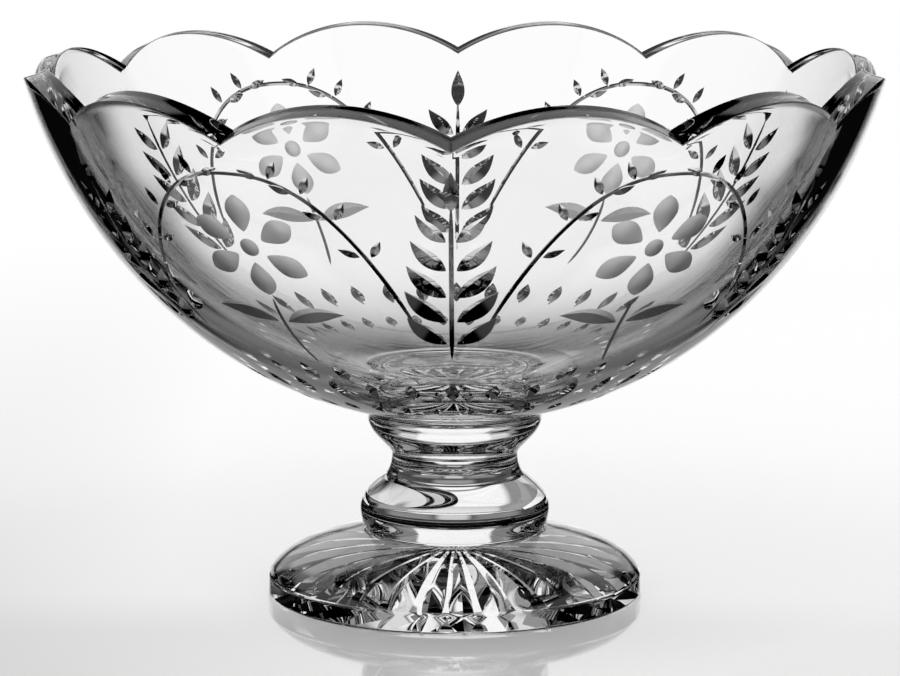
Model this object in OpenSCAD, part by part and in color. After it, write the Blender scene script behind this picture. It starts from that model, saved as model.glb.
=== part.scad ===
// Footed trifle bowl of clear cut glass. Four pieces of glass are fused hot, one on another:
// a domed foot, a squat knop, a collar with a neck, and a deep bowl with a scalloped rim and with
// sprigs and flowers cut into its outside.
// Millimetres. The foot stands on the plane z = 0, centred on the Z axis.

/* [Foot] */
// Diameter of the foot
foot_d = 111.4; // [100:0.2:124]
// Height of the foot where the knop stands on it
foot_h = 19.4; // [16:0.1:24]
// Height of the upright edge of the foot
foot_edge_h = 5.8; // [4.6:0.1:7]
// Height and width of the bevel ground on the foot's lower edge
foot_bevel = 0.8; // [0.4:0.1:1.2]

/* [Rays under the foot] */
// Number of rays
ray_count = 28; // [20:1:30]
// Angle between the two sides of a ray
ray_angle = 110; // [100:1:116]
// Radius of the flat button at the middle, where the rays start
ray_hub_r = 3; // [2:0.1:5]
// Distance from the axis to the deepest place of a ray
ray_deep_r = 35; // [30:0.5:40]
// Least width of the ridge between two rays
ray_ridge = 0.4; // [0.3:0.1:1]
// Depth of a ray where it leaves the foot's edge
ray_rim_depth = 0.6; // [0.4:0.1:1.6]
// Turn of the rays against the notches of the rim
ray_turn = 3; // [0:0.5:6]

/* [Knop] */
// Diameter of the knop where it stands on the foot
knop_foot_d = 54.6; // [50:0.2:58]
// Height of the knop
knop_h = 16.2; // [14:0.1:19]
// Bulge of the knop beyond the circle that it stands on
knop_bulge = 0.9; // [0.5:0.1:2]
// Bevel on the knop's lower edge
knop_bevel = 0.5; // [0.3:0.1:1]

/* [Collar] */
// Diameter of the neck's foot, where it stands on the knop
neck_foot_d = 41; // [38:0.2:44]
// Diameter of the crease between the neck and the flare
waist_d = 37.8; // [35:0.2:38]
// Height of the neck, from the knop to the crease
neck_h = 7.2; // [6:0.1:9]
// Height of the flare, from the crease to the seat under the bowl
flare_h = 9.6; // [8:0.1:12]
// Diameter of the seat under the bowl
seat_d = 51.6; // [48:0.2:56]

/* [Bowl] */
// Diameter of the bowl across the tips of the scallops
rim_d = 253.6; // [230:0.2:280]
// Height of the bowl, from its seat to the tips of the scallops
bowl_h = 106.8; // [95:0.1:120]
// Thickness of the bowl's floor
floor_t = 10; // [8:0.1:12]
// Thickness of the wall at the rim
rim_wall = 7; // [5.5:0.1:8.5]
// Height of the round pad that the bowl's curve springs from
pad_h = 0.6; // [0.3:0.1:1.5]

/* [Scallops] */
// Number of scallops round the rim
scallop_count = 12; // [10:1:16]
// Height of a scallop's tip over the notches beside it
scallop_rise = 12.1; // [9:0.1:14]
// Slope of the ground rim, falling outwards
rim_slope = 20; // [10:1:30]

/* [Cuts on the bowl] */
// Number of sprigs, and of flowers between them
spray_count = 6; // [5:1:7]
// Height of a sprig's foot over the table
sprig_foot_h = 86; // [80:0.5:92]
// Height of a flower's middle over the table
flower_h = 118; // [112:0.5:122]
// Length of the longest leaf on a sprig
leaf_length = 17; // [14:0.1:18]
// Width of the longest leaf on a sprig
leaf_width = 6.2; // [5:0.1:6.6]
// Angle between the two sides of a leaf's cut
leaf_angle = 112; // [100:1:120]
// Step up the stem from one pair of leaves to the next
leaf_step = 10; // [9.6:0.1:11]
// Length of a petal
petal_length = 13.5; // [11:0.1:15]
// Width of a petal
petal_width = 8.4; // [6.5:0.1:8.8]
// Length of the two leaves under a flower
low_leaf_length = 20; // [16:0.1:22]

/* [Hidden] */
$fn = 96;
// How far a cutter runs past what it cuts
overrun = 4;
curve_steps = 9;
bowl_steps = 22;

foot_r = foot_d / 2;
knop_foot_r = knop_foot_d / 2;
neck_foot_r = neck_foot_d / 2;
waist_r = waist_d / 2;
seat_r = seat_d / 2;
rim_r = rim_d / 2;

knop_z = foot_h;
collar_z = knop_z + knop_h;
seat_z = collar_z + neck_h + flare_h;
tip_z = seat_z + bowl_h;

function bezier(p, t) =
    pow(1 - t, 3) * p[0] + 3 * pow(1 - t, 2) * t * p[1] + 3 * (1 - t) * pow(t, 2) * p[2] + pow(t, 3) * p[3];
function slope(p, t) =
    pow(1 - t, 2) * (p[1] - p[0]) + 2 * (1 - t) * t * (p[2] - p[1]) + pow(t, 2) * (p[3] - p[2]);
function unit(v) = v / norm(v);
// The point that a share of the way across, and another share of the way up, leads to
function between(a, b, share) = [a[0] + share[0] * (b[0] - a[0]), a[1] + share[1] * (b[1] - a[1])];
// A smooth curve from a to b, with its two handles placed by shares of the way
function curve(a, b, first_share, last_share, steps) =
    let (p = [a, between(a, b, first_share), between(a, b, last_share), b])
    [for (i = [0 : steps]) bezier(p, i / steps)];

// The foot: a dome from the knop down to the arris over the upright edge
dome_shares = [[0.4, 0.32], [0.855, 0.44]];
dome_low = [foot_r - foot_bevel / 4, foot_edge_h];
dome = curve([knop_foot_r, foot_h], dome_low, dome_shares[0], dome_shares[1], curve_steps);
foot_outline = concat(
    [[0, foot_h]], dome, [[foot_r, foot_bevel], [foot_r - foot_bevel, 0], [0, 0]]
);

// A ray rises from the button to its deepest place and sinks again to the edge
ray_half_angle = ray_angle / 2;
ray_width = 2 * PI * ray_deep_r / ray_count - ray_ridge;
ray_depth = ray_width / 2 / tan(ray_half_angle);
ray_start = [ray_hub_r, 0];
ray_deep = [ray_deep_r, ray_depth];
ray_end = [foot_r, ray_rim_depth];

// The knop: a bulb that swells out from the neck and comes in a little to the foot
knop_reach_shares = [2, 1.83];
knop_drop_shares = [0.42, 0.535];
knop_handles = [
    for (i = [0, 1]) [knop_foot_r + knop_reach_shares[i] * knop_bulge, knop_h * (1 - knop_drop_shares[i])]
];
knop_line = [[neck_foot_r, knop_h], knop_handles[0], knop_handles[1], [knop_foot_r, knop_bevel]];
knop_curve = [for (i = [0 : curve_steps]) bezier(knop_line, i / curve_steps)];
knop_outline = concat([[0, knop_h]], knop_curve, [[knop_foot_r - knop_bevel, 0], [0, 0]]);

// The collar: a hollowed neck, a crease, and a flare that turns upright under the bowl
neck_shares = [[0.94, 0.28], [1.3, 0.74]];
flare_shares = [[0.17, 0.26], [0.92, 0.58]];
neck_curve = curve([neck_foot_r, 0], [waist_r, neck_h], neck_shares[0], neck_shares[1], curve_steps);
flare_curve = curve(
    [waist_r, neck_h], [seat_r, neck_h + flare_h], flare_shares[0], flare_shares[1], curve_steps
);
collar_outline = concat([[0, 0]], neck_curve, flare_curve, [[0, neck_h + flare_h]]);

// The bowl: one curve from the axis to the rim, and the inside set off square to it
wall_shares = [[0.48, 0], [0.872, 0.421]];
wall_low = [0, seat_z + pad_h];
wall_high = [rim_r, tip_z];
wall_handles = [for (share = wall_shares) between(wall_low, wall_high, share)];
wall_line = [wall_low, wall_handles[0], wall_handles[1], wall_high];
function wall_at(t) = rim_wall + (floor_t - rim_wall) * pow(1 - t, 2);
function inside(t) =
    let (d = unit(slope(wall_line, t)))
    bezier(wall_line, t) + wall_at(t) * [-d[1], d[0]];
rim_run = overrun * unit(slope(wall_line, 1));
outer_wall = [for (i = [0 : bowl_steps]) bezier(wall_line, i / bowl_steps)];
inner_wall = [for (i = [bowl_steps : -1 : 1]) inside(i / bowl_steps)];
bowl_outline = concat(
    outer_wall, [wall_high + rim_run, inside(1) + rim_run], inner_wall, [[0, wall_low[1] + floor_t]]
);

// A scallop is an arc over its own share of the rim
tip_r = rim_r - rim_wall;
scallop_turn = 360 / scallop_count;
scallop_half = rim_r * sin(scallop_turn / 2);
scallop_r = (pow(scallop_half, 2) + pow(scallop_rise, 2)) / (2 * scallop_rise);
scallop_start_share = 0.7;
rim_base_z = tip_z - 2 * scallop_rise - rim_wall * tan(rim_slope);

// The share of the wall's curve at a height, and the direction square to the wall there
function wall_share(z, low = 0, high = 1, steps = 24) =
    let (mid = (low + high) / 2)
    steps == 0 ? mid
        : bezier(wall_line, mid)[1] > z ? wall_share(z, low, mid, steps - 1)
        : wall_share(z, mid, high, steps - 1);
function wall_tilt(t) = let (d = slope(wall_line, t)) atan2(d[1], -d[0]);
// The wall's height a short way up its curve from a height, in two steps
function along_wall(z, run) =
    let (t = wall_share(z), d = unit(slope(wall_line, t)), half_z = z + run / 2 * d[1])
    let (e = unit(slope(wall_line, wall_share(half_z)))) z + run * e[1];

// How far a cutter stands out of the wall
cut_cover = 0.3;
// Width of the flat at the bottom of a leaf's cut
leaf_flat = 0.2;

// A sprig has pairs of leaves up its stem and one at its tip
leaf_shares = [0.95, 1, 0.95, 0.85, 0.73];
leaf_lean = 42;
leaf_gap = 1.4;
leaf_half_angle = leaf_angle / 2;
sprig_rise = 6;

// A flower has six flat petals round its middle and two leaves on its stem
flower_turn = 180 / spray_count;
petal_count = 6;
petal_start = 4.2;
petal_flat_share = 0.55;
petal_depth = 0.75;
low_leaf_width_share = 0.32;
low_leaf_depth_share = 0.058;
low_leaf_lean = 77;
low_leaf_drop = 28.5;

module ray_side(from, to) {
    drop = ray_depth + overrun;
    spread = drop * tan(ray_half_angle);
    translate([from[0], 0, from[1]])
        rotate([0, -atan2(to[1] - from[1], to[0] - from[0]), 0])
            translate([-foot_r, 0, 0])
                rotate([90, 0, 90])
                    linear_extrude(height = 2 * foot_r + overrun)
                        polygon([[0, 0], [-spread, -drop], [spread, -drop]]);
}

module ray() {
    dip = ray_ridge / 4;
    intersection() {
        ray_side(ray_start, ray_deep);
        ray_side(ray_deep, ray_end);
        translate([0, -ray_width, -dip])
            cube([foot_r + overrun, 2 * ray_width, ray_depth + 2 * dip]);
    }
}

module foot() {
    color("lightsteelblue")
        difference() {
            rotate_extrude() polygon(foot_outline);
            for (i = [0 : ray_count - 1])
                rotate([0, 0, (i + 0.5) * 360 / ray_count - ray_turn])
                    ray();
        }
}

module knop() {
    color("lightblue")
        translate([0, 0, knop_z])
            rotate_extrude() polygon(knop_outline);
}

module collar() {
    color("powderblue")
        translate([0, 0, collar_z])
            rotate_extrude() polygon(collar_outline);
}

module scallop() {
    reach = rim_r * (1 - scallop_start_share);
    translate([tip_r, 0, tip_z])
        rotate([0, 90 + rim_slope, 0])
            translate([scallop_r, 0, -reach])
                cylinder(r = scallop_r, h = 2 * reach);
}

module rim_limit() {
    cylinder(r = rim_r + overrun, h = rim_base_z);
    for (i = [0 : scallop_count - 1])
        rotate([0, 0, (i + 0.5) * scallop_turn - 90])
            scallop();
}

// Puts a cut on the wall: at a turn round the axis and a height, a step sideways and up from there,
// and leaning to the left of upright
module on_wall(turn, height, sideways, up, lean) {
    z = along_wall(height, up);
    t = wall_share(z);
    r = bezier(wall_line, t)[0];
    rotate([0, 0, turn + sideways / r * 180 / PI - 90])
        translate([r, 0, z])
            rotate([0, wall_tilt(t), 0])
                rotate([0, 0, lean])
                    children();
}

// What a grinding wheel's edge takes out of the wall: flat at its middle, between two sloping sides
module wheel_cut(length, width, depth, flat) {
    wheel_r = (pow(length / 2, 2) + pow(depth, 2)) / (2 * depth);
    inner_r = wheel_r - depth - 2 * cut_cover;
    inner_half = width / 2 + cut_cover * (width - flat) / depth;
    edge = [[wheel_r, -flat / 2], [wheel_r, flat / 2], [inner_r, inner_half], [inner_r, -inner_half]];
    intersection() {
        translate([0, 0, wheel_r - depth])
            rotate([90, 0, 0])
                rotate_extrude()
                    polygon(edge);
        translate([0, 0, -2 * depth])
            cylinder(r = length / 2 + overrun, h = 2 * depth + cut_cover);
    }
}

module sprig_leaf(turn, share, sideways, up, lean) {
    width = leaf_width * share;
    on_wall(turn, sprig_foot_h, sideways, up, lean)
        wheel_cut(leaf_length * share, width, width / 2 / tan(leaf_half_angle), leaf_flat);
}

module sprig(turn) {
    for (i = [0 : len(leaf_shares) - 1])
        for (side = [-1, 1]) {
            reach = leaf_length * leaf_shares[i] / 2;
            sideways = side * (leaf_gap + reach * sin(leaf_lean));
            up = sprig_rise + leaf_step * i + reach * cos(leaf_lean);
            sprig_leaf(turn, leaf_shares[i], sideways, up, -side * leaf_lean);
        }
    tip_share = leaf_shares[len(leaf_shares) - 1];
    tip_up = sprig_rise + leaf_step * len(leaf_shares) + leaf_length * tip_share / 2;
    sprig_leaf(turn, tip_share, 0, tip_up, 0);
}

module petal(turn, lean) {
    reach = petal_start + petal_length / 2;
    on_wall(turn, flower_h, reach * sin(lean), reach * cos(lean), -lean)
        wheel_cut(petal_length, petal_width, petal_depth, petal_width * petal_flat_share);
}

module low_leaf(turn, side) {
    reach = low_leaf_length / 2;
    sideways = side * (leaf_gap + reach * sin(low_leaf_lean));
    width = low_leaf_length * low_leaf_width_share;
    depth = low_leaf_length * low_leaf_depth_share;
    on_wall(turn, flower_h, sideways, reach * cos(low_leaf_lean) - low_leaf_drop, -side * low_leaf_lean)
        wheel_cut(low_leaf_length, width, depth, leaf_flat);
}

module flower(turn) {
    for (i = [0 : petal_count - 1])
        petal(turn, i * 360 / petal_count);
    for (side = [-1, 1])
        low_leaf(turn, side);
}

module bowl() {
    color("aliceblue")
        difference() {
            intersection() {
                union() {
                    rotate_extrude() polygon(bowl_outline);
                    translate([0, 0, seat_z])
                        cylinder(r = seat_r, h = floor_t / 2);
                }
                rim_limit();
            }
            for (i = [0 : spray_count - 1]) {
                sprig(i * 360 / spray_count);
                flower(i * 360 / spray_count + flower_turn);
            }
        }
}

foot();
knop();
collar();
bowl();
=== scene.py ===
# Footed trifle bowl of clear cut glass: a deep scalloped bowl fused to a collar, a knop and a domed foot.
import math

import bmesh
import bpy
import numpy as np
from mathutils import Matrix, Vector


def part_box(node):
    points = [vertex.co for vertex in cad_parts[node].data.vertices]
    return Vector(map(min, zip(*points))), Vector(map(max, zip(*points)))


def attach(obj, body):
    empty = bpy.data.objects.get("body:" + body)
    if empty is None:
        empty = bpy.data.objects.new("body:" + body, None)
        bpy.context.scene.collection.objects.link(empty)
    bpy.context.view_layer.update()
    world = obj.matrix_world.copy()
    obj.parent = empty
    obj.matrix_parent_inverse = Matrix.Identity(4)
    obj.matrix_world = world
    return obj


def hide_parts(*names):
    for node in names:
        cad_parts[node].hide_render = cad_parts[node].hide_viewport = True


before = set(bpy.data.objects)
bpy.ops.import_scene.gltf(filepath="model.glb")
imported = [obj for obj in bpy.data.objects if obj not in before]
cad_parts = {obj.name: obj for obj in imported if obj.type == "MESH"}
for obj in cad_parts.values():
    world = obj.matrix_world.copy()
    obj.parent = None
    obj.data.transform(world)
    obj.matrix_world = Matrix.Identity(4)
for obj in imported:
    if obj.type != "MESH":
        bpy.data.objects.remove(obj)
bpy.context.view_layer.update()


# The camera
# It stands where the photograph's did, a little above the rim and far off, with a long lens. It looks
# slightly down, and its frame is shifted a little to the side.
scene = bpy.context.scene
camera_distance = 1.150
camera_height = 0.280
camera_aim = 0.0764
camera_turn = math.radians(0.5)
camera_lens = 157.8
camera_shift = -0.0053

camera_data = bpy.data.cameras.new("camera")
camera_data.sensor_width = 36
camera_data.lens = camera_lens
camera_data.shift_x = camera_shift
camera = bpy.data.objects.new("camera", camera_data)
scene.collection.objects.link(camera)
camera_x = camera_distance * math.sin(camera_turn)
camera_y = -camera_distance * math.cos(camera_turn)
camera.location = (camera_x, camera_y, camera_height)
camera_tilt = math.atan2(camera_height - camera_aim, camera_distance)
camera.rotation_euler = (math.pi / 2 - camera_tilt, 0, camera_turn)
scene.camera = camera
scene.view_settings.view_transform = "Standard"


# The foot
# A domed disc of clear crystal, pressed while hot and then polished bright. The bowl stands on it. A sunburst
# of pointed cuts is ground on its underside, from near the middle out to the edge.
MM = 0.001
foot_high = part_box("foot")[1]
foot_r = foot_high[0]
foot_h = foot_high[2]
foot_edge_h = 5.8 * MM
foot_bevel = 0.8 * MM
foot_arris = 0.7 * MM
knop_foot_r = 27.3 * MM
knop_bevel = 0.5 * MM
dome_stop_share = 0.985
dome_steps = 48


def between(a, b, share):
    return (a[0] + share[0] * (b[0] - a[0]), a[1] + share[1] * (b[1] - a[1]))


def bezier(p, t):
    t = np.asarray(t, float)[..., None]
    p = np.asarray(p, float)
    return (1 - t) ** 3 * p[0] + 3 * (1 - t) ** 2 * t * p[1] + 3 * (1 - t) * t**2 * p[2] + t**3 * p[3]


def rounded(a, corner, b, reach, steps=5):
    """Points that round the corner between a and b, starting reach before it."""
    a, corner, b = (np.asarray(p, float) for p in (a, corner, b))
    start = corner + reach * (a - corner) / np.linalg.norm(a - corner)
    stop = corner + reach * (b - corner) / np.linalg.norm(b - corner)
    t = np.linspace(0, 1, steps)[:, None]
    return ((1 - t) ** 2 * start + 2 * (1 - t) * t * corner + t**2 * stop).tolist()


dome_high = (knop_foot_r, foot_h)
dome_low = (foot_r - foot_bevel / 4, foot_edge_h)
dome_line = [
    dome_high,
    between(dome_high, dome_low, (0.4, 0.32)),
    between(dome_high, dome_low, (0.855, 0.44)),
    dome_low,
]
dome = bezier(dome_line, np.linspace(0, dome_stop_share, dome_steps))
side_low = (foot_r, foot_bevel)
flat_edge = (foot_r - foot_bevel, 0)
foot_outline = (
    [(0, foot_h), (knop_foot_r - knop_bevel, foot_h)]
    + dome.tolist()
    + rounded(dome[-1], dome_low, side_low, foot_arris)
    + rounded(dome_low, side_low, flat_edge, foot_bevel / 3)
    + rounded(side_low, flat_edge, (0, 0), foot_bevel / 3)
    + [(0, 0)]
)

# Clear crystal, with the faint waves of hot-worked glass. The discs where hot pieces are fused don't show.
glass_index = 1.545
wave_size = 45 * MM
wave_depth = 0.02 * MM
POLISHED, FUSED = range(2)


class Wire:
    """A number that varies over a surface: arithmetic on it adds Math nodes."""

    def __init__(self, tree, socket):
        self.tree = tree
        self.socket = socket

    def node(self, kind, settings, sockets):
        made = self.tree.nodes.new(kind)
        for key, value in settings.items():
            setattr(made, key, value)
        for key, value in sockets.items():
            if isinstance(value, Wire):
                self.tree.links.new(value.socket, made.inputs[key])
            else:
                made.inputs[key].default_value = value
        return Wire(self.tree, made.outputs[0])

    def math(self, operation, *values):
        return self.node("ShaderNodeMath", {"operation": operation}, dict(enumerate(values)))

    def __add__(self, other):
        return self.math("ADD", self, other)

    def __radd__(self, other):
        return self.math("ADD", other, self)

    def __sub__(self, other):
        return self.math("SUBTRACT", self, other)

    def __rsub__(self, other):
        return self.math("SUBTRACT", other, self)

    def __mul__(self, other):
        return self.math("MULTIPLY", self, other)

    def __rmul__(self, other):
        return self.math("MULTIPLY", other, self)

    def smooth(self, low, high):
        """From 0 below low to 1 above high."""
        kind = {"interpolation_type": "SMOOTHSTEP"}
        return self.node("ShaderNodeMapRange", kind, {0: self, 1: low, 2: high, 3: 0.0, 4: 1.0})

    def split(self):
        parts = self.node("ShaderNodeSeparateXYZ", {}, {0: self}).socket.node.outputs
        return [Wire(self.tree, part) for part in parts]


def new_material(name):
    material = bpy.data.materials.new(name)
    material.use_nodes = True
    tree = material.node_tree
    shader = tree.nodes["Principled BSDF"]
    place = Wire(tree, tree.nodes.new("ShaderNodeTexCoord").outputs["Object"])
    return material, tree, shader, place


def polished_glass():
    material, tree, shader, place = new_material("crystal")
    shader.inputs["Base Color"].default_value = (1.0, 1.0, 1.0, 1)
    shader.inputs["IOR"].default_value = glass_index
    shader.inputs["Transmission Weight"].default_value = 1
    shader.inputs["Roughness"].default_value = 0
    waves = place.node("ShaderNodeTexNoise", {}, {"Vector": place, "Scale": 1 / wave_size, "Detail": 1.0})
    bump = place.node("ShaderNodeBump", {}, {"Height": waves, "Strength": 1.0, "Distance": wave_depth})
    tree.links.new(bump.socket, shader.inputs["Normal"])
    return material


def fused_glass():
    material = bpy.data.materials.new("fused_crystal")
    material.use_nodes = True
    tree = material.node_tree
    tree.nodes.clear()
    clear = tree.nodes.new("ShaderNodeBsdfTransparent")
    out = tree.nodes.new("ShaderNodeOutputMaterial")
    tree.links.new(clear.outputs[0], out.inputs["Surface"])
    return material


finishes = [polished_glass(), fused_glass()]


def dress(piece, kind=POLISHED):
    """Gives a mesh every finish, and its faces the one named."""
    mesh = piece.data
    mesh.materials.clear()
    for material in finishes:
        mesh.materials.append(material)
    mesh.polygons.foreach_set("material_index", np.full(len(mesh.polygons), kind, np.int32))


def fuse(piece, height, radius):
    """Marks the flat disc where the piece is fused to its neighbour."""
    flat = 0.001 * MM
    for face in piece.data.polygons:
        if abs(face.center.z - height) < flat and math.hypot(face.center.x, face.center.y) < radius:
            face.material_index = FUSED


# The foot, the knop and the collar are shaped while they turn, so a lathe carries their outlines round.
def new_object(name, verts, faces):
    mesh = bpy.data.meshes.new(name)
    mesh.from_pydata([tuple(v) for v in verts], [], faces)
    piece = bpy.data.objects.new(name, mesh)
    scene.collection.objects.link(piece)
    return piece


def new_tree(name, inputs):
    tree = bpy.data.node_groups.new(name, "GeometryNodeTree")
    tree.interface.new_socket("Geometry", in_out="INPUT", socket_type="NodeSocketGeometry")
    for label, kind in inputs.items():
        tree.interface.new_socket(label, in_out="INPUT", socket_type=kind)
    tree.interface.new_socket("Geometry", in_out="OUTPUT", socket_type="NodeSocketGeometry")
    return tree, tree.nodes.new("NodeGroupInput").outputs, tree.nodes.new("NodeGroupOutput").inputs


def add_node(tree, kind, settings, links):
    made = tree.nodes.new(kind)
    for key, value in settings.items():
        setattr(made, key, value)
    for key, value in links.items():
        if isinstance(value, bpy.types.NodeSocket):
            tree.links.new(value, made.inputs[key])
        else:
            made.inputs[key].default_value = value
    return made.outputs[0]


def add_math(tree, operation, *values):
    return add_node(tree, "ShaderNodeMath", {"operation": operation}, dict(enumerate(values)))


def end_tree(tree, shape, given, result):
    real = add_node(tree, "GeometryNodeRealizeInstances", {}, {"Geometry": shape})
    glass = add_node(tree, "GeometryNodeSetMaterial", {}, {"Geometry": real, "Material": given["Glass"]})
    tree.links.new(glass, result[0])


def lathe_tree():
    weld = 0.0001 * MM
    tree, given, result = new_tree("lathe", {"Segments": "NodeSocketInt", "Glass": "NodeSocketMaterial"})
    outline = given["Geometry"]
    segments = given["Segments"]
    rows = add_node(tree, "GeometryNodeAttributeDomainSize", {}, {"Geometry": outline})
    columns = add_math(tree, "ADD", segments, 1.0)
    grid = add_node(tree, "GeometryNodeMeshGrid", {}, {"Vertices X": columns, "Vertices Y": rows})
    index = add_node(tree, "GeometryNodeInputIndex", {}, {})
    row = add_math(tree, "MODULO", index, rows)
    column = add_math(tree, "FLOOR", add_math(tree, "DIVIDE", index, rows))
    angle = add_math(tree, "MULTIPLY", add_math(tree, "DIVIDE", column, segments), 2 * math.pi)
    place = add_node(tree, "GeometryNodeInputPosition", {}, {})
    sample = {"Geometry": outline, "Value": place, "Index": row}
    point = add_node(tree, "GeometryNodeSampleIndex", {"data_type": "FLOAT_VECTOR"}, sample)
    turned = {"Vector": point, "Angle": angle}
    turned = add_node(tree, "ShaderNodeVectorRotate", {"rotation_type": "Z_AXIS"}, turned)
    moved = add_node(tree, "GeometryNodeSetPosition", {}, {"Geometry": grid, "Position": turned})
    joined = add_node(tree, "GeometryNodeMergeByDistance", {}, {"Geometry": moved, "Distance": weld})
    end_tree(tree, joined, given, result)
    return tree


def baked(piece):
    """Turns a piece's modifiers into its plain mesh."""
    graph = bpy.context.evaluated_depsgraph_get()
    shape = piece.evaluated_get(graph)
    mesh = bpy.data.meshes.new_from_object(shape, preserve_all_data_layers=True, depsgraph=graph)
    piece.modifiers.clear()
    old = piece.data
    piece.data = mesh
    bpy.data.meshes.remove(old)


def run_tree(piece, tree, values):
    """Runs a tree on a piece once, and leaves its plain mesh."""
    modifier = piece.modifiers.new(tree.name, "NODES")
    modifier.node_group = tree
    for item in tree.interface.items_tree:
        if item.in_out == "INPUT" and item.name in values:
            modifier[item.identifier] = values[item.name]
    baked(piece)


def face_out(piece):
    """Turns a closed mesh's faces outwards, by the sign of its volume."""
    mesh = piece.data
    mesh.calc_loop_triangles()
    verts = np.zeros(len(mesh.vertices) * 3)
    mesh.vertices.foreach_get("co", verts)
    corners = np.zeros(len(mesh.loop_triangles) * 3, np.int32)
    mesh.loop_triangles.foreach_get("vertices", corners)
    a, b, c = verts.reshape(-1, 3)[corners.reshape(-1, 3)].transpose(1, 0, 2)
    if np.einsum("ij,ij->i", a, np.cross(b, c)).sum() < 0:
        mesh.flip_normals()


lathe_segments = 224
lathe = lathe_tree()


def turn(name, outline):
    """A closed outline of (radius, height) points, from the axis round to the axis, carried round."""
    piece = new_object(name, [(r, 0, z) for r, z in outline], [])
    run_tree(piece, lathe, {"Segments": lathe_segments, "Glass": finishes[POLISHED]})
    face_out(piece)
    dress(piece)
    return piece


# The rays are V grooves: as wide as their pitch where they are deepest, then running out to the edge.
ray_count = 28
ray_half_angle = math.radians(55)
ray_hub_r = 3 * MM
ray_deep_r = 35 * MM
ray_ridge = 0.4 * MM
ray_rim_depth = 0.6 * MM
ray_turn = math.radians(3)
ray_soft = 0.35 * MM
ray_cover = 0.1 * MM
ray_past = 1.5 * MM
ray_start_share = 0.9
ray_steps = 40


def swept(sections):
    """A closed cutter through rows of points, one row for each section."""
    count, sides = sections.shape[:2]
    faces = []
    for i in range(count - 1):
        for j in range(sides):
            k = (j + 1) % sides
            faces.append((i * sides + j, i * sides + k, (i + 1) * sides + k, (i + 1) * sides + j))
    faces.append(tuple(range(sides))[::-1])
    faces.append(tuple((count - 1) * sides + j for j in range(sides)))
    return sections.reshape(-1, 3), faces


def ray_cutter():
    ray_width = 2 * math.pi * ray_deep_r / ray_count - ray_ridge
    ray_depth = ray_width / 2 / math.tan(ray_half_angle)
    r = np.linspace(ray_hub_r * ray_start_share, foot_r + ray_past, ray_steps)
    rise = (r - ray_hub_r) / (ray_deep_r - ray_hub_r) * ray_depth
    fall = ray_depth + (r - ray_deep_r) / (foot_r - ray_deep_r) * (ray_rim_depth - ray_depth)
    depth = (rise + fall - np.sqrt((rise - fall) ** 2 + ray_soft**2)) / 2
    spread = (depth + ray_cover) * math.tan(ray_half_angle)
    low = np.full_like(r, -ray_cover)
    deepest = np.stack([r, np.zeros_like(r), depth], -1)
    left = np.stack([r, spread, low], -1)
    right = np.stack([r, -spread, low], -1)
    return swept(np.stack([deepest, left, right], 1))


def ring_tree():
    inputs = {"Count": "NodeSocketInt", "Start": "NodeSocketFloat", "Glass": "NodeSocketMaterial"}
    tree, given, result = new_tree("ring", inputs)
    count = given["Count"]
    points = add_node(tree, "GeometryNodePoints", {}, {"Count": count})
    index = add_node(tree, "GeometryNodeInputIndex", {}, {})
    share = add_math(tree, "DIVIDE", index, count)
    angle = add_math(tree, "MULTIPLY_ADD", share, 2 * math.pi, given["Start"])
    spin = add_node(tree, "ShaderNodeCombineXYZ", {}, {"Z": angle})
    spin = add_node(tree, "FunctionNodeEulerToRotation", {}, {"Euler": spin})
    copies = {"Points": points, "Instance": given["Geometry"], "Rotation": spin}
    copies = add_node(tree, "GeometryNodeInstanceOnPoints", {}, copies)
    end_tree(tree, copies, given, result)
    return tree


ring = ring_tree()


def keep_grain(piece, crease):
    """Writes each corner's normal on the mesh, so that it outlives a cut."""
    mesh = piece.data
    mesh.polygons.foreach_set("use_smooth", np.ones(len(mesh.polygons), bool))
    mesh.set_sharp_from_angle(angle=math.radians(crease))
    normals = np.zeros(len(mesh.loops) * 3, np.float32)
    mesh.corner_normals.foreach_get("vector", normals)
    grain = mesh.attributes.new("grain", "FLOAT_VECTOR", "CORNER")
    grain.data.foreach_set("vector", normals)


piece_crease = 30


def cutter_ring(verts, faces, count, start, kind=POLISHED, crease=piece_crease):
    """One cutter repeated round the axis."""
    piece = new_object("cutter", verts, faces)
    face_out(piece)
    run_tree(piece, ring, {"Count": count, "Start": start, "Glass": finishes[POLISHED]})
    dress(piece, kind)
    keep_grain(piece, crease)
    return piece


def mark_faces(piece, value):
    mark = piece.data.attributes.new("cut", "INT", "FACE")
    mark.data.foreach_set("value", np.full(len(piece.data.polygons), value, np.int32))


def carve(piece, cutters):
    """Takes the cutters out of a piece, and keeps both surfaces' own normals."""
    mark_faces(piece, 0)
    for cutter in cutters:
        mark_faces(cutter, 1)
        cut = piece.modifiers.new("cut", "BOOLEAN")
        cut.operation = "DIFFERENCE"
        cut.solver = "MANIFOLD"
        cut.object = cutter
        baked(piece)
        bpy.data.objects.remove(cutter)
    mesh = piece.data
    grain = np.zeros(len(mesh.loops) * 3, np.float32)
    mesh.attributes["grain"].data.foreach_get("vector", grain)
    grain = grain.reshape(-1, 3)
    is_cut = np.zeros(len(mesh.polygons), np.int32)
    mesh.attributes["cut"].data.foreach_get("value", is_cut)
    sides = np.zeros(len(mesh.polygons), np.int32)
    mesh.polygons.foreach_get("loop_total", sides)
    grain[np.repeat(is_cut, sides) > 0] *= -1
    mesh.polygons.foreach_set("use_smooth", np.ones(len(mesh.polygons), bool))
    mesh.normals_split_custom_set(grain.tolist())
    for name in ("grain", "cut"):
        mesh.attributes.remove(mesh.attributes[name])


def finish(piece, node):
    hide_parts(node)
    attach(piece, "root")


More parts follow.
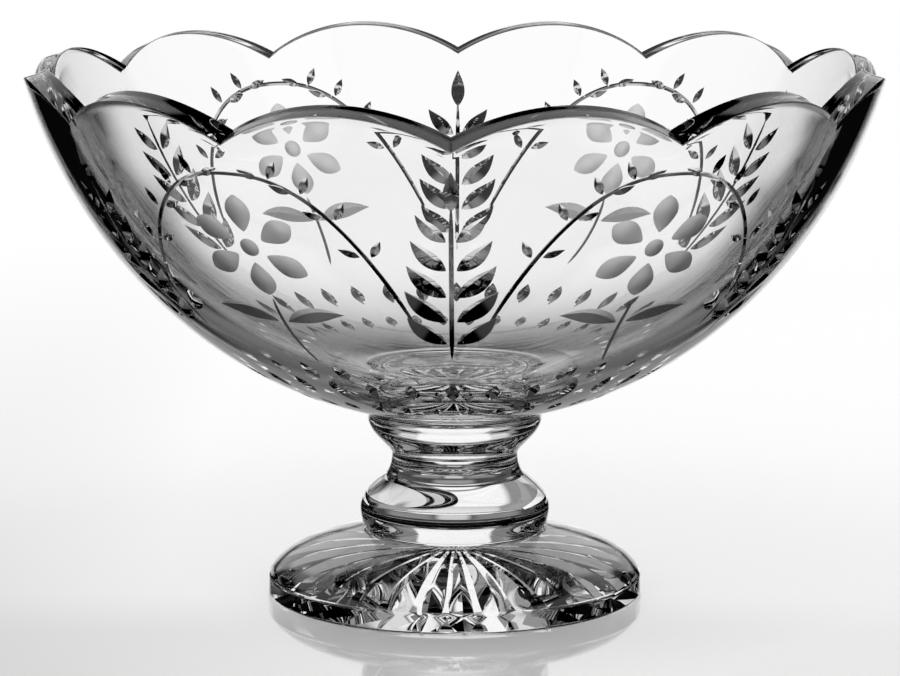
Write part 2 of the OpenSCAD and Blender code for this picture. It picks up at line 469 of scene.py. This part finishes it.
foot = turn("foot_glass", foot_outline)
fuse(foot, foot_h, knop_foot_r - knop_bevel)
keep_grain(foot, piece_crease)
carve(foot, [cutter_ring(*ray_cutter(), ray_count, math.pi / ray_count - ray_turn)])
finish(foot, "foot")


# The knop
# A squat bulb of clear crystal, tooled from its own gather of hot glass. It is stuck to the middle of the
# foot while both are hot.
knop_low, knop_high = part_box("knop")
knop_h = knop_high[2] - knop_low[2]
neck_foot_r = 20.5 * MM
knop_bulge = 0.9 * MM
knop_stop_share = 0.97
knop_steps = 64
knop_line = [
    (neck_foot_r, knop_high[2]),
    (knop_foot_r + 2 * knop_bulge, knop_high[2] - 0.42 * knop_h),
    (knop_foot_r + 1.83 * knop_bulge, knop_high[2] - 0.535 * knop_h),
    (knop_foot_r, knop_low[2] + knop_bevel),
]
knop_side = bezier(knop_line, np.linspace(0, knop_stop_share, knop_steps)).tolist()
knop_seat = (knop_foot_r - knop_bevel, knop_low[2])
knop_outline = (
    [(0, knop_high[2])]
    + knop_side
    + rounded(knop_side[-1], knop_line[3], knop_seat, knop_bevel / 2)
    + [knop_seat, (0, knop_low[2])]
)
knop = turn("knop_glass", knop_outline)
fuse(knop, knop_high[2], neck_foot_r)
fuse(knop, knop_low[2], knop_foot_r)
keep_grain(knop, piece_crease)
carve(knop, [])
finish(knop, "knop")


# The collar
# A short neck with a flare that turns upright under the bowl, all one gather of clear crystal. A fine crease
# from the tool runs between the two.
collar_low, collar_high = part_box("collar")
waist_r = 18.9 * MM
neck_h = 7.2 * MM
neck_steps = 32
flare_start_share = 0.02
flare_steps = 40
neck_low = (neck_foot_r, collar_low[2])
waist = (waist_r, collar_low[2] + neck_h)
seat_r = collar_high[0]
seat_edge = (seat_r, collar_high[2])
neck_line = [
    neck_low,
    between(neck_low, waist, (0.94, 0.28)),
    between(neck_low, waist, (1.3, 0.74)),
    waist,
]
flare_line = [
    waist,
    between(waist, seat_edge, (0.17, 0.26)),
    between(waist, seat_edge, (0.92, 0.58)),
    seat_edge,
]
collar_outline = (
    [(0, collar_low[2])]
    + bezier(neck_line, np.linspace(0, 1, neck_steps)).tolist()
    + bezier(flare_line, np.linspace(flare_start_share, 1, flare_steps)).tolist()
    + [(0, collar_high[2])]
)
collar = turn("collar_glass", collar_outline)
fuse(collar, collar_low[2], neck_foot_r)
fuse(collar, collar_high[2], seat_r)
keep_grain(collar, piece_crease)
carve(collar, [])
finish(collar, "collar")


# The bowl
# One thick shell of clear crystal, blown into a mould. Twelve scallops are ground on its rim and polished,
# each by a wheel held square to the wall. A short cove leads down to the pad that is fused to the collar.
bowl_low, bowl_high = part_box("bowl")
rim_r = 126.8 * MM
rim_wall = 7 * MM
floor_t = 10 * MM
pad_h = 0.6 * MM
seat_z = bowl_low[2]
tip_z = bowl_high[2]
scallop_count = 12
scallop_rise = 12.1 * MM
rim_slope = math.radians(20)
rim_search_shares = (0.7, 1.1)
rim_search_steps = 50
edge_round = 0.45 * MM
crown_share = 0.65
crown_rise = 0.45 * MM
crown_round = 2.2 * edge_round
cove_h = 0.8 * MM
cove_out = 0.5 * MM
cove_fall = 0.2
cove_steps = 7
cove_top_share = 0.165
near_share = 0.02
column_count = 360
outer_rows = 56
inner_rows = 40
bowl_crease = 32

wall_low = (0, seat_z + pad_h)
wall_high = (rim_r, tip_z)
wall_line = [
    wall_low,
    between(wall_low, wall_high, (0.48, 0)),
    between(wall_low, wall_high, (0.872, 0.421)),
    wall_high,
]


def unit(v):
    return v / np.linalg.norm(v, axis=-1, keepdims=True)


def slope(p, t):
    t = np.asarray(t, float)[..., None]
    p = np.asarray(p, float)
    return unit((1 - t) ** 2 * (p[1] - p[0]) + 2 * (1 - t) * t * (p[2] - p[1]) + t**2 * (p[3] - p[2]))


def outside(t):
    return bezier(wall_line, t)


def inside(t):
    d = slope(wall_line, t)
    thick = rim_wall + (floor_t - rim_wall) * (1 - np.asarray(t)[..., None]) ** 2
    return bezier(wall_line, t) + thick * np.stack([-d[..., 1], d[..., 0]], axis=-1)


def rim_place(wall, angle):
    """Where a wall meets the scallop over this angle, as a share of the wall's curve."""
    turn_each = 2 * math.pi / scallop_count
    delta = (angle % turn_each) - turn_each / 2
    half = rim_r * math.sin(turn_each / 2)
    radius = (half**2 + scallop_rise**2) / (2 * scallop_rise)
    centre_r = rim_r - rim_wall - radius * math.sin(rim_slope)
    centre_z = tip_z - radius * math.cos(rim_slope)
    low = np.full_like(angle, rim_search_shares[0])
    high = np.full_like(angle, rim_search_shares[1])
    for _ in range(rim_search_steps):
        t = (low + high) / 2
        p = wall(t)
        across = p[:, 0] * np.sin(delta)
        along = p[:, 0] * np.cos(delta)
        over = (along - centre_r) * math.sin(rim_slope) + (p[:, 1] - centre_z) * math.cos(rim_slope)
        above = over > np.sqrt(np.maximum(radius**2 - across**2, 0))
        high = np.where(above, t, high)
        low = np.where(above, low, t)
    return (low + high) / 2


def arc_round(a, corner, b, reach, steps=5):
    """Rounds each column's corner: an array of steps points per column."""
    start = corner + reach * unit(a - corner)
    stop = corner + reach * unit(b - corner)
    t = np.linspace(0, 1, steps)[:, None, None]
    return (1 - t) ** 2 * start + 2 * (1 - t) * t * corner + t**2 * stop


def rim_rows(outer_t, inner_t):
    """The ground rim: a crown raised a little between two rounded edges."""
    outer_edge = outside(outer_t)
    inner_edge = inside(inner_t)
    chord = unit(inner_edge - outer_edge)
    level = outer_edge + crown_share * (inner_edge - outer_edge)
    crown = level + crown_rise * np.stack([-chord[:, 1], chord[:, 0]], -1)
    crown = np.where((crown[:, 1] < outer_edge[:, 1])[:, None], 2 * level - crown, crown)
    rows = list(arc_round(outside(outer_t - near_share), outer_edge, crown, edge_round))
    rows += list(arc_round(outer_edge, crown, inner_edge, crown_round))
    rows += list(arc_round(crown, inner_edge, inside(inner_t - near_share), edge_round))
    return rows


def cove_rows():
    """The flat pad under the bowl, and the cove that leads from its edge to the wall."""
    top = outside(np.array(cove_top_share))
    low = np.array([seat_r, seat_z + cove_h])
    corner = np.array([seat_r + cove_out, top[1] - (top[0] - seat_r) * cove_fall])
    t = np.linspace(0, 1, cove_steps)[:, None]
    cove = (1 - t) ** 2 * low + 2 * (1 - t) * t * corner + t**2 * top
    pad = [np.array([share * seat_r, seat_z]) for share in (0, 0.5, 1)]
    return [np.repeat(point[None], column_count, 0) for point in pad + list(cove)]


def bowl_shell():
    angle = np.arange(column_count) * 2 * math.pi / column_count
    outer_t = rim_place(outside, angle)
    inner_t = rim_place(inside, angle)
    rows = cove_rows()
    for k in range(1, outer_rows):
        rows.append(outside(cove_top_share + (outer_t - cove_top_share) * k / outer_rows))
    rows += rim_rows(outer_t, inner_t)
    for k in range(1, inner_rows):
        rows.append(inside(inner_t * (1 - k / inner_rows)))
    rows.append(np.repeat(np.array([[0, wall_low[1] + floor_t]]), column_count, 0))
    places = [np.stack([row[:, 0] * np.cos(angle), row[:, 0] * np.sin(angle), row[:, 1]], -1) for row in rows]
    faces = []
    for i in range(len(rows) - 1):
        for j in range(column_count):
            k = (j + 1) % column_count
            a = i * column_count
            b = a + column_count
            faces.append((a + j, a + k, b + k, b + j))
    return np.concatenate(places), faces


def merge_doubles(piece):
    """Joins the columns where they meet on the axis."""
    weld = 0.001 * MM
    work = bmesh.new()
    work.from_mesh(piece.data)
    bmesh.ops.remove_doubles(work, verts=work.verts, dist=weld)
    bmesh.ops.triangulate(work, faces=[face for face in work.faces if len(face.verts) > 4])
    work.to_mesh(piece.data)
    work.free()


# The engraver's stone leaves its cuts matt, with a fine grain.
MATT = 2
matt_colour = (0.9, 0.9, 0.9, 1)
grain_size = 0.25 * MM
grain_depth = 0.004 * MM


def matt_glass():
    material, tree, shader, place = new_material("matt_crystal")
    shader.inputs["Base Color"].default_value = matt_colour
    shader.inputs["IOR"].default_value = glass_index
    shader.inputs["Transmission Weight"].default_value = 1
    grain = place.node("ShaderNodeTexNoise", {}, {"Vector": place, "Scale": 1 / grain_size, "Detail": 3.0})
    bump = place.node("ShaderNodeBump", {}, {"Height": grain, "Strength": 1.0, "Distance": grain_depth})
    rough = 0.5 + 0.1 * grain
    tree.links.new(rough.socket, shader.inputs["Roughness"])
    tree.links.new(bump.socket, shader.inputs["Normal"])
    return material


finishes.append(matt_glass())
bowl = new_object("bowl_glass", *bowl_shell())
merge_doubles(bowl)
face_out(bowl)
dress(bowl)
fuse(bowl, seat_z, seat_r)
keep_grain(bowl, bowl_crease)


# The cuts on the bowl
# The glass cutter holds the bowl against turning wheels: a pointed wheel leaves a V, a round one a hollow,
# and the deeper it goes, the wider the cut. From here to the olives, sizes without a unit are millimetres on
# the wall, and turns are degrees from the bowl's front.
front = -math.pi / 2
wall_shares = (0.02, 1.02)
wall_steps = 600
wall_t = np.linspace(*wall_shares, wall_steps)
wall_points = outside(wall_t)
wall_run = np.concatenate([[0], np.cumsum(np.linalg.norm(np.diff(wall_points, axis=0), axis=1))])
wall_dirs = slope(wall_line, wall_t)
cut_cover = 0.3 * MM
cut_shy = 0.02 * MM
path_steps = 25
hollow_steps = 13
pointed_crease = 25
hollow_crease = 60
cutters = []


def run_at(height):
    return np.interp(height, wall_points[:, 1], wall_run)


def on_wall(turned, run):
    """The place and outward normal on the wall, at an angle from the front and a distance up the wall."""
    r, z, dr, dz = (np.interp(run, wall_run, q) for q in (*wall_points.T, *wall_dirs.T))
    angle = front + turned
    place = np.stack([r * np.cos(angle), r * np.sin(angle), z], -1)
    normal = np.stack([dz * np.cos(angle), dz * np.sin(angle), -dr], -1)
    return place, normal


def pointed(half_angle):
    """A wheel with a V edge. It gives how far its edge's points lie to the side and out of the wall."""
    steep = math.tan(math.radians(half_angle))

    def profile(half_width):
        depth = half_width / steep - cut_shy
        aside = (depth + cut_cover)[:, None] * steep * np.array([0, 1, -1])
        top = np.full_like(depth, cut_cover)
        return aside, np.stack([-depth, top, top], -1)

    return profile


def round_edged(radius):
    """A wheel with a round edge, which gives the same of its own edge."""

    def profile(half_width):
        depth = half_width**2 / (2 * radius) - cut_shy
        spread = np.arccos(1 - (depth + cut_cover) / radius)
        angle = spread[:, None] * np.linspace(-1, 1, hollow_steps)
        return radius * np.sin(angle), radius * (1 - np.cos(angle)) - depth[:, None]

    return profile


def groove(turned, run, half_width, wheel):
    """A cutter along a path on the wall, as deep in it as the wheel goes for this width."""
    place, normal = on_wall(turned, run)
    along = unit(np.gradient(place, axis=0))
    across = unit(np.cross(normal, along))
    aside, out = wheel(half_width)
    return swept(place[:, None] + aside[..., None] * across[:, None] + out[..., None] * normal[:, None])


def stroke(turned, height, path, half_width, wheel):
    """A groove whose path runs sideways and up from a place on the wall."""
    path = path * MM
    run = run_at(height * MM) + path[:, 1]
    r = np.interp(run, wall_run, wall_points[:, 0])
    return groove(math.radians(turned) + path[:, 0] / r, run, half_width * MM, wheel)


def wheel_path(start, heading, length, bend=0.0, steps=path_steps):
    """Points from start along a heading from upright, turning by bend degrees on the way."""
    share = np.linspace(0, 1, steps)
    angle = np.radians(heading + bend * share)
    step = length / (steps - 1)
    x = start[0] + np.concatenate([[0], np.cumsum(np.sin(angle[:-1]) * step)])
    y = start[1] + np.concatenate([[0], np.cumsum(np.cos(angle[:-1]) * step)])
    return np.stack([x, y], -1)


def leaf_shape(width, swell=0.8):
    """Half widths that swell and come to a point again, widest past the middle for a swell over 1."""
    return width / 2 * np.sin(math.pi * np.linspace(0, 1, path_steps) ** swell)


def line_shape(width, steps=path_steps, taper=0.15):
    """Half widths of a thin line that runs out at both ends, over a share of its length."""
    share = np.linspace(0, 1, steps)
    return width / 2 * np.sqrt(np.clip(np.minimum(share, 1 - share) / taper, 0, 1))


def cut(shapes, count=6, start=0.0, kind=POLISHED, crease=pointed_crease):
    """Cuts that don't touch each other, repeated together round the bowl."""
    verts = []
    faces = []
    for shape_verts, shape_faces in shapes:
        first = len(verts)
        verts += [tuple(v) for v in shape_verts]
        faces += [tuple(first + i for i in face) for face in shape_faces]
    cutters.append(cutter_ring(verts, faces, count, math.radians(start), kind, crease))


# The sprigs
# Six upright sprigs of mitre leaves round the bowl, each with five pairs of leaves on a thin stem and one at
# the tip. They are cut with pointed wheels, and polished again afterwards.
sprig_foot_h = 86
sprig_rise = 6
stem_drop = 2
stem_length = 60
stem_width = 1.4
stem_steps = 31
stem_wheel = pointed(50)
leaf_shares = (0.95, 1, 0.95, 0.85, 0.73)
leaf_length = 17
leaf_width = 6.2
leaf_step = 10
leaf_gap = 1.4
leaf_lean = 42
leaf_bend = 22
leaf_wheel = pointed(56)

stem = wheel_path((0, -stem_drop), 0, stem_length, 0, stem_steps)
cut([stroke(0, sprig_foot_h, stem, line_shape(stem_width, stem_steps), stem_wheel)])
rows = []
for i, share in enumerate(leaf_shares):
    pair = []
    for side in (-1, 1):
        root = (side * leaf_gap, sprig_rise + leaf_step * i)
        heading = side * (leaf_lean + leaf_bend / 2)
        leaf = wheel_path(root, heading, leaf_length * share, -side * leaf_bend)
        pair.append(stroke(0, sprig_foot_h, leaf, leaf_shape(leaf_width * share), leaf_wheel))
    rows.append(pair)
tip_share = leaf_shares[-1]
tip = wheel_path((0, sprig_rise + leaf_step * len(leaf_shares)), 0, leaf_length * tip_share)
rows.append([stroke(0, sprig_foot_h, tip, leaf_shape(leaf_width * tip_share), leaf_wheel)])
cut(sum(rows[::2], []))
cut(sum(rows[1::2], []))


# The daisies
# Six daisies between the sprigs. Petals and eye are hollows of round-edged stones, and the stem and its two
# long leaves are mitres. All of it is left matt from the stone.
daisy_turn = 30
daisy_h = 118
petal_count = 6
petal_start = 4.2
petal_length = 13.5
petal_width = 8.4
petal_swell = 1.35
petal_blunt = 0.8
petal_wheel = round_edged(12 * MM)
petal_half_width = petal_width / 2 * leaf_shape(2, petal_swell) ** petal_blunt
petals = []
for k in range(petal_count):
    heading = 360 / petal_count * k
    toward = math.radians(heading)
    root = (petal_start * math.sin(toward), petal_start * math.cos(toward))
    petal = wheel_path(root, heading, petal_length)
    petals.append(stroke(daisy_turn, daisy_h, petal, petal_half_width, petal_wheel))
cut(petals[::2], kind=MATT, crease=hollow_crease)
cut(petals[1::2], kind=MATT, crease=hollow_crease)

eye_r = 3.1
eye_steps = 15
eye_wheel = round_edged(8 * MM)
eye = wheel_path((0, -eye_r), 0, 2 * eye_r, 0, eye_steps)
eye_half_width = eye_r * np.sqrt(1 - np.linspace(-1, 1, eye_steps) ** 2)
cut([stroke(daisy_turn, daisy_h, eye, eye_half_width, eye_wheel)], kind=MATT, crease=hollow_crease)

daisy_stem_start = (0.5, -18.5)
daisy_stem_heading = 186
daisy_stem_length = 30
daisy_stem_bend = -22
daisy_stem_width = 1.1
daisy_stem_wheel = pointed(45)
daisy_stem = wheel_path(daisy_stem_start, daisy_stem_heading, daisy_stem_length, daisy_stem_bend)
cut([stroke(daisy_turn, daisy_h, daisy_stem, line_shape(daisy_stem_width), daisy_stem_wheel)], kind=MATT)

long_leaf_drop = 28.5
long_leaf_lean = 60
long_leaf_bend = 34
long_leaf_length = 20
long_leaf_width = 6.4
long_leaf_swell = 0.9
long_leaf_wheel = pointed(70)
long_leaf_half_width = leaf_shape(long_leaf_width, long_leaf_swell)
long_leaves = []
for side in (-1, 1):
    root = (side * leaf_gap, -long_leaf_drop)
    long_leaf = wheel_path(root, side * long_leaf_lean, long_leaf_length, side * long_leaf_bend)
    long_leaves.append(stroke(daisy_turn, daisy_h, long_leaf, long_leaf_half_width, long_leaf_wheel))
cut(long_leaves, kind=MATT)


# The arches
# A thin arch springs over each daisy of the front and the back, with pairs of small leaves along it. They are
# cut with fine pointed wheels, and polished.
arch_low = 90
arch_high = 139.5
arch_half_turn = 25.5
arch_square = 2.4
arch_width = 1.4
arch_taper = 0.08
arch_steps = 61
arch_starts = (0, -60)
small_leaf_places = (9, 14, 19, 24, 36, 41, 46, 51)
small_leaf_gap = 1.6
small_leaf_rise = 0.2
small_leaf_lean = 48
small_leaf_turn = 20
small_leaf_length = 6.5
small_leaf_width = 2.6
small_leaf_swell = 0.85
small_leaf_wheel = pointed(52)

across = np.linspace(-1, 1, arch_steps)
arch_turn = np.radians(daisy_turn + arch_half_turn * across)
arch_rise = run_at(arch_high * MM) - run_at(arch_low * MM)
arch_run = run_at(arch_low * MM) + arch_rise * (1 - np.abs(across) ** arch_square)
arch = groove(arch_turn, arch_run, line_shape(arch_width, arch_steps, arch_taper) * MM, stem_wheel)
small_leaf_half_width = leaf_shape(small_leaf_width, small_leaf_swell)
small_leaves = []
for k in small_leaf_places:
    side = -1 if across[k] < 0 else 1
    turned = math.degrees(arch_turn[k])
    height = np.interp(arch_run[k], wall_run, wall_points[:, 1]) / MM
    for out in (-1, 1):
        root = (out * small_leaf_gap, small_leaf_rise)
        heading = out * small_leaf_lean - side * small_leaf_turn
        small_leaf = wheel_path(root, heading, small_leaf_length)
        small_leaves.append(stroke(turned, height, small_leaf, small_leaf_half_width, small_leaf_wheel))
for start in arch_starts:
    cut([arch], 2, start)
    cut(small_leaves, 2, start)


# The olives
# Two rows of short upright olives close round the bowl's base, the lower one smaller and set between those of
# the upper one. They are cut with one touch of a pointed wheel, and polished.
olive_count = 36
olive_rows = ({"height": 72, "start": 0, "length": 11, "width": 4.2},
              {"height": 64, "start": 5, "length": 8, "width": 3.6})
for row in olive_rows:
    olive = wheel_path((0, -row["length"] / 2), 0, row["length"])
    olive = stroke(0, row["height"], olive, leaf_shape(row["width"], 1.0), small_leaf_wheel)
    cut([olive], olive_count, row["start"])

carve(bowl, cutters)
finish(bowl, "bowl")


# The table
# A white, glossy top that the bowl stands on. Light and shade are painted on it: its colour is painted
# lighter behind the bowl, on the right and round the foot, where it weakens the bowl's shadow, and a painted
# glow stands for the light the glass throws round the foot. Far off it goes over into the white backdrop.
table_r = 3.0
table_sides = 128
table_rough = 0.04
table_index = 2.4
turns = np.linspace(0, 2 * math.pi, table_sides, endpoint=False)
table_verts = [(0, 0, 0)] + [(table_r * math.cos(a), table_r * math.sin(a), 0) for a in turns]
table_faces = [(0, 1 + k, 1 + (k + 1) % table_sides) for k in range(table_sides)]
table = new_object("table", table_verts, table_faces)
table_material, tree, shader, place = new_material("table_top")
shader.inputs["Roughness"].default_value = table_rough
shader.inputs["IOR"].default_value = table_index
x, y, _ = place.split()
reach = x * x + y * y
reach = reach.math("SQRT", reach)
# Painted light: lighter behind the bowl and on the right, a little darker again far to the right, and lighter
# round the foot, where it weakens the bowl's shadow.
tone_and_painted_light = 0.56 + 0.28 * y.smooth(-0.15, 0.17) + 0.36 * x.smooth(-0.17, 0.0) - 0.06 * x.smooth(0.05, 0.15)
tone_and_painted_light = tone_and_painted_light + 0.13 * (1.0 - reach.smooth(0.05, 0.17))
tone_and_painted_light = tone_and_painted_light.math("MINIMUM", tone_and_painted_light, 1.0)
tone_and_painted_light = tone_and_painted_light.node("ShaderNodeCombineColor", {}, {0: tone_and_painted_light, 1: tone_and_painted_light, 2: tone_and_painted_light})
tree.links.new(tone_and_painted_light.socket, shader.inputs["Base Color"])
# Painted light: a glow behind the foot stands for the light the glass throws on the table; far off the same
# white emission is the backdrop.
painted_foot_glow = 0.4 * (1.0 - reach.smooth(0.06, 0.2)) * y.smooth(-0.06, 0.0)
painted_glow_and_backdrop = painted_foot_glow.math("MAXIMUM", painted_foot_glow, reach.smooth(0.25, 0.75))
glow = place.node("ShaderNodeEmission", {}, {"Color": (1, 1, 1, 1), "Strength": 1.0})
blend = place.node("ShaderNodeMixShader", {}, {0: painted_glow_and_backdrop, 1: Wire(tree, shader.outputs[0]), 2: glow})
tree.links.new(blend.socket, tree.nodes["Material Output"].inputs["Surface"])
table.data.materials.append(table_material)
table.visible_transmission = False
table.visible_glossy = False


# The studio
# A white room round the table. What the glass bends and mirrors of it is a set of soft lit panels with dark
# between them, on both sides of the line from the camera, so that the glass gets its dark edges.
dark = 0.002
world = bpy.data.worlds.new("studio")
scene.world = world
world.use_nodes = True
world.cycles.sampling_method = "NONE"
tree = world.node_tree
tree.nodes.clear()
dx, dy, dz = Wire(tree, tree.nodes.new("ShaderNodeTexCoord").outputs["Generated"]).split()
rise = dz.math("ARCSINE", dz) * (180 / math.pi)
heading = dx.math("ARCTAN2", dy, dx) * (180 / math.pi) - 90.0
aside = heading.math("WRAP", heading, 180.0, -180.0)
aside = aside.math("ABSOLUTE", aside)


def panel(level, near, far, low, high, soft=3.0):
    """A soft-edged panel from near to far aside of straight ahead, and from low to high, all in degrees."""
    lit = level * (1.0 - aside.smooth(far - soft, far + soft))
    lit = lit * rise.smooth(low - soft, low + soft) * (1.0 - rise.smooth(high - soft, high + soft))
    return lit * aside.smooth(near - soft, near + soft) if near else lit


def brightest(panels):
    lit = panels[0]
    for other in panels[1:]:
        lit = lit.math("MAXIMUM", lit, other)
    return lit


# What the glass bends: the backdrop, the table behind the bowl, the walls, the room behind and the ceiling.
backdrop = [
    panel(1.0, 0, 12.5, -13, 3, 2),
    panel(1.0, 0, 20, -3, 43),
    panel(0.75, 15, 31, 4, 19),
    panel(0.3, 15, 38, 10, 47),
]
table_seen = [
    (1.0 - aside.smooth(8, 13)) * rise.smooth(-24, -13) * (1.0 - rise.smooth(0, 5)),
    panel(0.2, 7, 26, -95, -24),
    panel(0.6, 0, 5.5, -38, -25.5, 2),
    panel(1.0, 0, 23, -63, -52, 2),
    panel(0.25, 0, 36, -77, -52),
    panel(0.15, 85, 140, -50, -20),
]
side_walls = [
    panel(0.8, 77, 102, -20, 2),
    panel(0.25, 77, 112, -20, 40),
]
room_behind = [
    panel(0.8, 112, 142, -24, 45),
    panel(0.6, 142, 190, -10, 55),
]
ceiling = [
    panel(0.3, 42, 150, 64, 100),
    panel(1.0, 0, 12, 47, 65),
]
through = brightest(backdrop + table_seen + side_walls + room_behind + ceiling)

# What it mirrors: the low backdrop, the table, two higher panels, and the walls and the floor to the sides.
mirrored = brightest([
    panel(1.0, 0, 17, -20, 3),
    panel(0.6, 0, 20, -80, -10),
    panel(1.0, 0, 27, 7, 28),
    panel(0.9, 0, 60, 26, 58),
    panel(0.8, 62, 190, 5, 50),
    panel(0.7, 62, 190, -100, -40),
])
path = tree.nodes.new("ShaderNodeLightPath").outputs
is_camera = Wire(tree, path["Is Camera Ray"])
is_diffuse = Wire(tree, path["Is Diffuse Ray"])
is_refracted = Wire(tree, path["Is Transmission Ray"])
lit = through * is_refracted + mirrored * (1.0 - is_refracted)
strength = brightest([dark + (1.0 - dark) * lit, is_camera, is_diffuse])
room = tree.nodes.new("ShaderNodeBackground")
room.inputs["Color"].default_value = (1, 1, 1, 1)
tree.links.new(strength.socket, room.inputs["Strength"])
out = tree.nodes.new("ShaderNodeOutputWorld")
tree.links.new(room.outputs[0], out.inputs[0])
